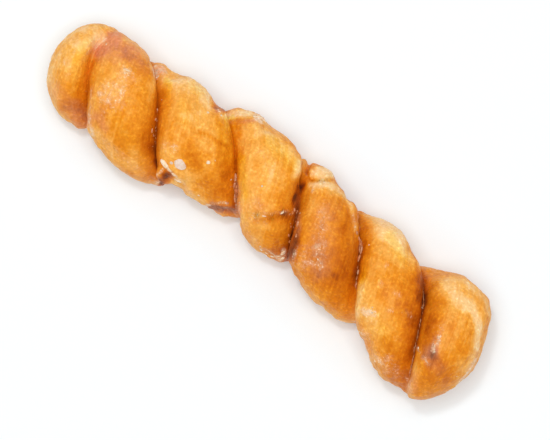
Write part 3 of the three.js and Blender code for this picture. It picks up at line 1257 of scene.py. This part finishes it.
BLOBS: Sequence[Blob] = (
    Blob(-40.2, -11.2, 4.6, 2.6, 1.7, -8),
    Blob(-32.4, -13.2, 4.2, 1.1, 0.9, -12),
    Blob(-35.0, -12.3, 3.0, 0.9, 0.6, -16),
    Blob(-37.4, -11.9, 2.6, 0.9, 0.6, -14),
    Blob(-27.3, -0.8, 1.5, 1.6, 0.7, 0),
    Blob(-38.9, 13.9, 1.1, 1.1, 0.5, 0),
    Blob(-22.9, -12.9, 1.0, 0.8, 0.5, 0),
    Blob(15.5, -10.8, 2.0, 2.8, 0.9, 20),
    Blob(16.6, -12.5, 1.5, 1.9, 0.8, -10),
    Blob(14.7, -12.9, 1.6, 1.1, 0.6, 40),
    Blob(13.0, -14.4, 1.8, 0.8, 0.6, 5),
    Blob(10.4, -14.7, 1.4, 0.7, 0.5, 0),
    Blob(8.2, -14.9, 1.2, 0.7, 0.5, 0),
    Blob(5.9, 0.9, 2.4, 1.0, 0.35, 44),
    Blob(1.0, -4.4, 3.2, 0.6, 0.25, 42),
    Blob(-22.6, 24.4, 2.4, 1.4, 0.8, 20),
    Blob(-24.4, 23.4, 1.6, 1.0, 0.6, -20),
    Blob(-20.6, 24.6, 1.6, 0.9, 0.5, 10),
    Blob(-72.4, 8.1, 2.2, 0.9, 0.4, 15),
)

PINK_DROPS: Sequence[Blob] = (
    Blob(-54.7, 3.2, 1.3, 0.6, 0.5, -40),
    Blob(-53.0, 0.0, 1.1, 0.7, 0.5, -75),
    Blob(-51.4, -4.2, 1.8, 0.8, 0.6, -50),
    Blob(-16.0, 0.8, 3.2, 1.1, 0.9, -52),
    Blob(-14.5, -1.7, 2.6, 1.0, 0.7, -55),
    Blob(-11.6, -5.1, 4.6, 1.0, 0.8, -44),
    Blob(-9.3, -7.4, 2.4, 1.1, 0.7, -40),
    Blob(-12.6, -8.8, 1.6, 0.9, 0.6, 40),
    Blob(9.0, 4.6, 1.6, 1.0, 0.6, -30),
    Blob(13.2, 1.2, 2.6, 1.6, 0.8, -60),
    Blob(15.4, -2.6, 1.6, 1.2, 0.7, -40),
    Blob(32.9, 12.0, 1.8, 1.4, 0.7, 0),
    Blob(34.8, 10.8, 1.6, 0.9, 0.6, -40),
    Blob(37.3, 7.9, 3.6, 1.4, 0.9, -62),
    Blob(38.1, 8.0, 3.4, 1.1, 0.6, -58),
    Blob(42.2, 0.6, 2.2, 1.1, 0.7, -66),
    Blob(80.6, -4.2, 1.5, 0.6, 0.35, -60),
    Blob(81.4, -6.2, 1.1, 0.5, 0.3, -25),
    Blob(80.0, -0.8, 1.2, 0.5, 0.3, -60),
    Blob(82.4, -10.4, 2.2, 0.6, 0.35, -12),
    Blob(80.4, -9.8, 1.3, 0.5, 0.3, 25),
    Blob(77.6, -9.0, 1.4, 0.5, 0.35, -20),
)

BEADS: Sequence[Blob] = (
    Blob(-35.2, -7.9, 5.2, 3.8, 1.2, -8),
    Blob(-38.2, -9.4, 1.4, 1.2, 0.6, 0),
)


@dataclass(frozen=True)
class BlobSizes:
    """How the thick drops are made: their facets, and from where and how far they are let fall."""

    detail: int = 5
    drop_from: float = 80.0
    reach: float = 200.0
    unevenness: float = 0.16


class GlazeBlobs:
    """Thick drops of glaze that stand on the crust."""

    def __init__(self, name: str, drops: Sequence[Blob], sizes: BlobSizes) -> None:
        """Takes the drops and starts the tree that sets them down."""
        self.drops = drops
        self.tree = ShapeTree(name, sizes)

    def build(self, crust: bpy.types.Object, finish: bpy.types.Material) -> bpy.types.Object:
        """Sets each drop down on the crust.

        Args:
            crust: What they stand on.
            finish: Their material.

        Returns:
            The piece.
        """
        tree, size = self.tree, self.tree.size
        ground = tree.ground()
        ball = tree.give(
            "GeometryNodeMeshIcoSphere", "Mesh", {}, {"Radius": 0.5, "Subdivisions": size.detail}
        )
        drops = (self._drop(ground, ball, blob, float(number)) for number, blob in enumerate(self.drops))
        return tree.piece(tree.gathered(drops), finish, crust.data)

    def _drop(self, ground: Value, ball: Value, blob: Blob, seed: float) -> Value:
        """One drop, dropped straight down onto the crust and turned to face out of it.

        Args:
            ground: The crust.
            ball: The round drop that it is made from.
            blob: Its place and size.
            seed: Which unevenness it has.

        Returns:
            The drop's mesh.
        """
        tree, size = self.tree, self.tree.size
        hit = tree.node(
            "GeometryNodeRaycast", {},
            {
                "Target Geometry": ground,
                "Source Position": tree.joined(blob.x, blob.y, size.drop_from),
                "Ray Direction": (0.0, 0.0, -1.0),
                "Ray Length": size.reach,
            },
        )
        facing = tree.give(
            "FunctionNodeAlignRotationToVector", "Rotation", {"axis": "Z"},
            {
                "Rotation": Euler((0.0, 0.0, math.radians(blob.turn))),
                "Vector": tree.output(hit, "Hit Normal"),
            },
        )
        return tree.give(
            "GeometryNodeTransform", "Geometry", {},
            {
                "Geometry": tree.uneven(ball, grain=0.45, seed=seed, depth=size.unevenness),
                "Translation": tree.output(hit, "Hit Position"),
                "Rotation": facing,
                "Scale": (blob.length, blob.width, blob.height),
            },
        )


class Surface(Tree):
    """A material's tree, with a place to read and a shader to feed."""

    def __init__(self, name: str) -> None:
        """Makes the material and its shader.

        Args:
            name: The material's name.
        """
        self.material = bpy.data.materials.new(name)
        self.material.use_nodes = True
        super().__init__(self.material.node_tree)
        self.nodes.nodes.clear()
        self.shader = self.node("ShaderNodeBsdfPrincipled")
        end = self.node("ShaderNodeOutputMaterial")
        self.nodes.links.new(self.shader.outputs["BSDF"], end.inputs["Surface"])

    def place(self) -> Value:
        """Where a point is on the piece, in millimetres."""
        where = self.give("ShaderNodeTexCoord", "Object")
        return self.scaled(where, 1 / MM)

    def attribute(self, name: str) -> Value:
        """A number that the piece carries."""
        return self.give("ShaderNodeAttribute", "Fac", {"attribute_name": name})

    def vector_attribute(self, name: str) -> Value:
        """A vector that the piece carries."""
        return self.give("ShaderNodeAttribute", "Vector", {"attribute_name": name})

    def feed(self, **sockets: Any) -> None:
        """Sets or links the shader's inputs, named with underscores for spaces."""
        for name, value in sockets.items():
            self.fill(self.shader.inputs[name.replace("_", " ")], value)

    def bumped(self, height: Value, depth: float) -> Value:
        """The normal of a surface with a fine relief, whose depth is in millimetres."""
        return self.give(
            "ShaderNodeBump", "Normal", {}, {"Height": height, "Strength": 1.0, "Distance": depth * MM}
        )


@dataclass(frozen=True)
class FriedCrustFinish:
    """Golden fried crust under a thin, patchy glaze, with shade and highlights painted into its colour.

    A span says from where to where a noise or a share comes in. The relief and the depth below the surface
    are in millimetres, and the other numbers are strengths and shares.
    """

    stops: Sequence[tuple[float, Colour]] = (
        (0.0, (0.99, 0.60, 0.25)),
        (0.2, (0.93, 0.43, 0.08)),
        (0.4, (0.81, 0.27, 0.015)),
        (0.55, (0.69, 0.185, 0.005)),
        (0.72, (0.51, 0.105, 0.002)),
        (0.86, (0.275, 0.048, 0.003)),
        (1.0, (0.105, 0.021, 0.008)),
    )
    middle: float = 0.27
    mottling: float = 0.20
    speckling: float = 0.05
    streaking: float = 0.14
    crease_calm: float = 0.7
    yellowing: float = 0.7
    rosy: Colour = (0.64, 0.215, 0.095)
    rosy_share: float = 0.8
    rosy_mottling: float = 0.6
    rosy_tones: Span = (0.2, 1.0)
    rosy_shades: Span = (1.2, 0.2)
    milky: Colour = (1.0, 0.71, 0.46)
    milk: Span = (0.03, 1.0)
    most_milk: float = 0.9
    patch_milk: float = 0.5
    patch_grains: float = 0.8
    film: Span = (0.15, 0.75)
    film_specks: float = 0.5
    film_milk: float = 0.12
    grains: Span = (0.1, 0.4)
    grain_milk: float = 0.25
    ridges: Span = (0.05, 0.0)
    ridge_share: float = 0.15
    ridge_milk_and_highlight: float = 0.4
    # Painted shade of the fine ripples, and cream and painted glints on their peaks
    ripple_tint_and_shade: Colour = (0.24, 0.36, 0.60)
    cream_and_glint_flecks: Span = (0.05, 0.5)
    fleck_glint_tint: Colour = (0.10, 0.30, 0.60)
    relief: float = 0.4
    ripple_relief: float = 0.6
    ridge_relief: float = 0.3
    roughness: float = 0.40
    mottled_roughness: float = 0.10
    film_gloss: float = 0.18
    milk_gloss: float = 0.06
    ior: float = 1.45
    shine: Colour = (1.0, 0.78, 0.42)
    shine_level: float = 0.16
    subsurface: float = 0.10
    subsurface_colour: Colour = (1.0, 0.35, 0.1)
    subsurface_depth: float = 2.0

    def material(self) -> bpy.types.Material:
        """Makes the material.

        Returns:
            The material, which reads the crust's own attributes.
        """
        tree = Surface("fried_crust")
        place = tree.place()
        strand = tree.vector_attribute("strand")
        streaks = tree.streaks(strand, squeeze=0.3, grain=1.6, seed=41.0, detail=3.0)
        mottle = tree.noise(place, grain=2.6, seed=42.0, detail=4.0)
        specks = tree.noise(place, grain=0.9, seed=43.0)
        calm = 1.0 - tree.attribute("crease") ** 0.5 * self.crease_calm
        uneven = (mottle * self.mottling + specks * self.speckling + streaks * self.streaking) * calm
        toned = self.middle + tree.attribute("browning_and_painted_light") + uneven
        crust = tree.give("ShaderNodeValToRGB", "Color", {"stops": self.stops}, {"Fac": toned})

        blush = tree.attribute("rosy")
        yellower = tree.joined(1.0, 1.0, 1.0 - tree.smooth(blush, 0.0, -1.0) * self.yellowing)
        golden = tree.vector("MULTIPLY", crust, yellower)
        dusty = blush * (self.rosy_share + mottle * self.rosy_mottling)
        shade = tree.smooth(toned, *self.rosy_tones, *self.rosy_shades)
        rosy = tree.scaled(tree.joined(*self.rosy), shade)
        blushed = tree.mix(tree.smooth(dusty, 0.0, 1.0), golden, rosy)

        # Pale glaze in films, grains and patches, with painted highlights in its patches and along the
        # ridges
        cloud = tree.noise(place, grain=3.4, seed=44.0, detail=3.0)
        film = tree.smooth(cloud + specks * self.film_specks, *self.film)
        grains = tree.smooth(tree.noise(place, grain=0.75, seed=47.0), *self.grains)
        settled = tree.attribute("milky")
        # Thin ridges take a painted highlight as well as raising the bump
        crossing = tree.math("ABSOLUTE", tree.noise(place, grain=2.2, seed=49.0))
        ridges = tree.smooth(crossing, *self.ridges) * (self.ridge_share + settled)
        milk = (
            settled * (self.patch_milk + grains * self.patch_grains + mottle)
            + (film * self.film_milk + grains * film * self.grain_milk) * calm
            + ridges * self.ridge_milk_and_highlight
        )
        share = tree.math("MINIMUM", tree.smooth(milk, *self.milk), self.most_milk)
        glazed = tree.mix(share, blushed, (*self.milky, 1.0))

        # The fine ripples also bump the normal; in the colour their pits are painted shade and their peaks
        # painted glints
        rippled = tree.noise(place, grain=1.1, seed=46.0, detail=3.0)
        cream_and_glint_flecks = tree.smooth(rippled, *self.cream_and_glint_flecks)
        tints = zip(self.ripple_tint_and_shade, self.fleck_glint_tint)
        grain = tree.joined(*(1.0 + rippled * ripple + cream_and_glint_flecks * fleck for ripple, fleck in tints))
        pitted = rippled * self.ripple_relief + ridges * self.ridge_relief
        gloss = film * self.film_gloss
        tree.feed(
            Base_Color=tree.vector("MULTIPLY", glazed, grain),
            Roughness=self.roughness + mottle * self.mottled_roughness - gloss - share * self.milk_gloss,
            IOR=self.ior,
            Specular_IOR_Level=self.shine_level,
            Specular_Tint=(*self.shine, 1.0),
            Subsurface_Weight=self.subsurface,
            Subsurface_Radius=self.subsurface_colour,
            Subsurface_Scale=self.subsurface_depth * MM,
            Normal=tree.bumped(pitted, self.relief),
        )
        return tree.material


@dataclass(frozen=True)
class SugarGlazeFinish:
    """Dried sugar glaze: clear in places, so that the crust tints it, and glossy."""

    name: str
    clear: Colour
    white: Colour
    roughness: float = 0.26
    coat: float = 0.12
    shine_level: float = 0.4
    opacity: float = 1.0
    clouds: Span = (-0.3, 0.5)
    cloudy_roughness: float = 0.1
    coat_roughness: float = 0.1
    subsurface: float = 0.3
    subsurface_colour: Colour = (1.0, 0.8, 0.7)
    subsurface_depth: float = 1.0
    relief: float = 0.06

    def material(self) -> bpy.types.Material:
        """Makes the material.

        Returns:
            The material.
        """
        tree = Surface(self.name)
        place = tree.place()
        cloud = tree.noise(place, grain=1.4, seed=51.0, detail=3.0)
        whiteness = tree.smooth(cloud, *self.clouds)
        tree.feed(
            Base_Color=tree.mix(whiteness, (*self.clear, 1.0), (*self.white, 1.0)),
            Roughness=self.roughness + cloud * self.cloudy_roughness,
            Specular_IOR_Level=self.shine_level,
            Subsurface_Weight=self.subsurface,
            Subsurface_Radius=self.subsurface_colour,
            Subsurface_Scale=self.subsurface_depth * MM,
            Coat_Weight=self.coat,
            Coat_Roughness=self.coat_roughness,
            Alpha=self.opacity,
            Normal=tree.bumped(tree.noise(place, grain=0.5, seed=52.0), self.relief),
        )
        return tree.material


CREAM_GLAZE = SugarGlazeFinish("cream_glaze", (0.88, 0.58, 0.33), (0.99, 0.84, 0.64))
CLEAR_GLAZE = SugarGlazeFinish(
    "clear_glaze", (0.88, 0.64, 0.47), (0.99, 0.88, 0.80), roughness=0.16, opacity=0.85
)
PINK_GLAZE = SugarGlazeFinish(
    "pink_glaze", (0.52, 0.19, 0.08), (0.88, 0.52, 0.31), roughness=0.46, coat=0.0, shine_level=0.15
)
ROSY_GLAZE = SugarGlazeFinish(
    "rosy_glaze", (0.42, 0.12, 0.034), (0.76, 0.34, 0.16), roughness=0.6, coat=0.0, shine_level=0.1
)


@dataclass(frozen=True)
class FloorFinish:
    """A plain matt white surface, slightly cool to make up for the light that the crust throws on it."""

    colour: Colour = (0.89, 0.955, 0.99)
    roughness: float = 0.9
    shine_level: float = 0.1

    def material(self) -> bpy.types.Material:
        """Makes the material.

        Returns:
            The material.
        """
        tree = Surface("white_floor")
        tree.feed(
            Base_Color=(*self.colour, 1.0),
            Roughness=self.roughness,
            Specular_IOR_Level=self.shine_level,
        )
        return tree.material


@dataclass(frozen=True)
class Softbox:
    """A square soft light that faces the doughnut, in metres and watts."""

    name: str
    place: tuple[float, float, float]
    size: float
    power: float


@dataclass(frozen=True)
class Studio:
    """The white floor, the soft light and the camera.

    The floor is in metres, the lens and the sensor are in millimetres, and where the doughnut lies in the
    picture is in pixels and degrees. The outline height, in millimetres, is that of the doughnut's widest
    level.
    """

    floor_size: float = 6.0
    light_colour: Colour = (1.0, 1.0, 1.0)
    floor_finish: FloorFinish = FloorFinish()
    sky: float = 0.58
    softboxes: Sequence[Softbox] = (
        Softbox("overhead_softbox", (-0.05, 0.02, 1.9), 1.1, 16.0),
        Softbox("glint_softbox", (-0.28, 0.16, 1.3), 0.12, 2.5),
    )
    lens: float = 240.0
    sensor: float = 36.0
    picture_width: float = 550.0
    picture_height: float = 440.0
    object_length: float = 528.95
    object_middle: tuple[float, float] = (267.9, 205.2)
    object_turn: float = 37.42
    outline_height: float = 18.0

    def build(self) -> None:
        """Makes everything round the doughnut."""
        self._lay_floor()
        self._light()
        self._set_camera()

    def _lay_floor(self) -> None:
        """A flat floor under the doughnut."""
        half = self.floor_size / 2
        mesh = bpy.data.meshes.new("floor")
        corners = [(-half, -half, 0.0), (half, -half, 0.0), (half, half, 0.0), (-half, half, 0.0)]
        mesh.from_pydata(corners, [], [(0, 1, 2, 3)])
        mesh.materials.append(self.floor_finish.material())
        floor = bpy.data.objects.new("floor", mesh)
        bpy.context.scene.collection.objects.link(floor)

    def _light(self) -> None:
        """The softboxes and an even sky, all of one colour."""
        scene = bpy.context.scene
        world = bpy.data.worlds.new("even_sky")
        world.use_nodes = True
        background = world.node_tree.nodes["Background"]
        background.inputs["Color"].default_value = (*self.light_colour, 1.0)
        background.inputs["Strength"].default_value = self.sky
        scene.world = world
        scene.view_settings.view_transform = "Standard"
        for box in self.softboxes:
            light = bpy.data.lights.new(box.name, "AREA")
            light.size = box.size
            light.energy = box.power
            light.color = self.light_colour
            lamp = bpy.data.objects.new(box.name, light)
            lamp.location = box.place
            lamp.rotation_euler = (-Vector(box.place)).to_track_quat("-Z", "Y").to_euler()
            scene.collection.objects.link(lamp)

    def _set_camera(self) -> None:
        """A camera straight above, turned and placed so that the doughnut lies in the picture as shown."""
        low, high = SOLID_BOX
        metres_per_pixel = (high.x - low.x) / self.object_length
        turn = math.radians(self.object_turn)
        right = Vector((math.cos(turn), math.sin(turn), 0.0))
        up = Vector((-math.sin(turn), math.cos(turn), 0.0))
        beside = (self.picture_width / 2 - self.object_middle[0]) * metres_per_pixel
        below = (self.picture_height / 2 - self.object_middle[1]) * metres_per_pixel
        distance = self.picture_width * metres_per_pixel * self.lens / self.sensor

        data = bpy.data.cameras.new("camera")
        data.lens = self.lens
        data.sensor_width = self.sensor
        camera = bpy.data.objects.new("camera", data)
        middle = (low + high) / 2
        camera.location = Vector((middle.x, middle.y, 0.0)) + right * beside - up * below
        camera.location.z = self.outline_height * MM + distance
        camera.rotation_euler = (0.0, 0.0, turn)
        bpy.context.scene.collection.objects.link(camera)
        bpy.context.scene.camera = camera


def report(piece: bpy.types.Object) -> None:
    """Logs a piece's name and how many triangles it has."""
    piece.data.calc_loop_triangles()
    log.info("%s: %d triangles", piece.name, len(piece.data.loop_triangles))


def main() -> None:
    """Builds the doughnut and what lights and shows it."""
    logging.basicConfig(level=logging.INFO, format="%(message)s")
    cream_glaze = CREAM_GLAZE.material()

    crust = Crust(CrustSizes(), CrustFades()).build(FriedCrustFinish().material())
    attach(crust, BODY)
    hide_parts("twisted_dough")
    report(crust)

    glaze = [
        CreaseLumps(CreaseLumpSizes()).build(ROSY_GLAZE.material()),
        GlazeFlakes(FlakeSizes()).build(crust, cream_glaze),
        GlazeBlobs("glaze_blobs", BLOBS, BlobSizes()).build(crust, cream_glaze),
        GlazeBlobs("pink_drops", PINK_DROPS, BlobSizes()).build(crust, PINK_GLAZE.material()),
        GlazeBlobs("glaze_beads", BEADS, BlobSizes(unevenness=0.12)).build(crust, CLEAR_GLAZE.material()),
    ]
    for piece in glaze:
        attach(piece, BODY)
        report(piece)

    Studio().build()


if __name__ == "__main__":
    main()
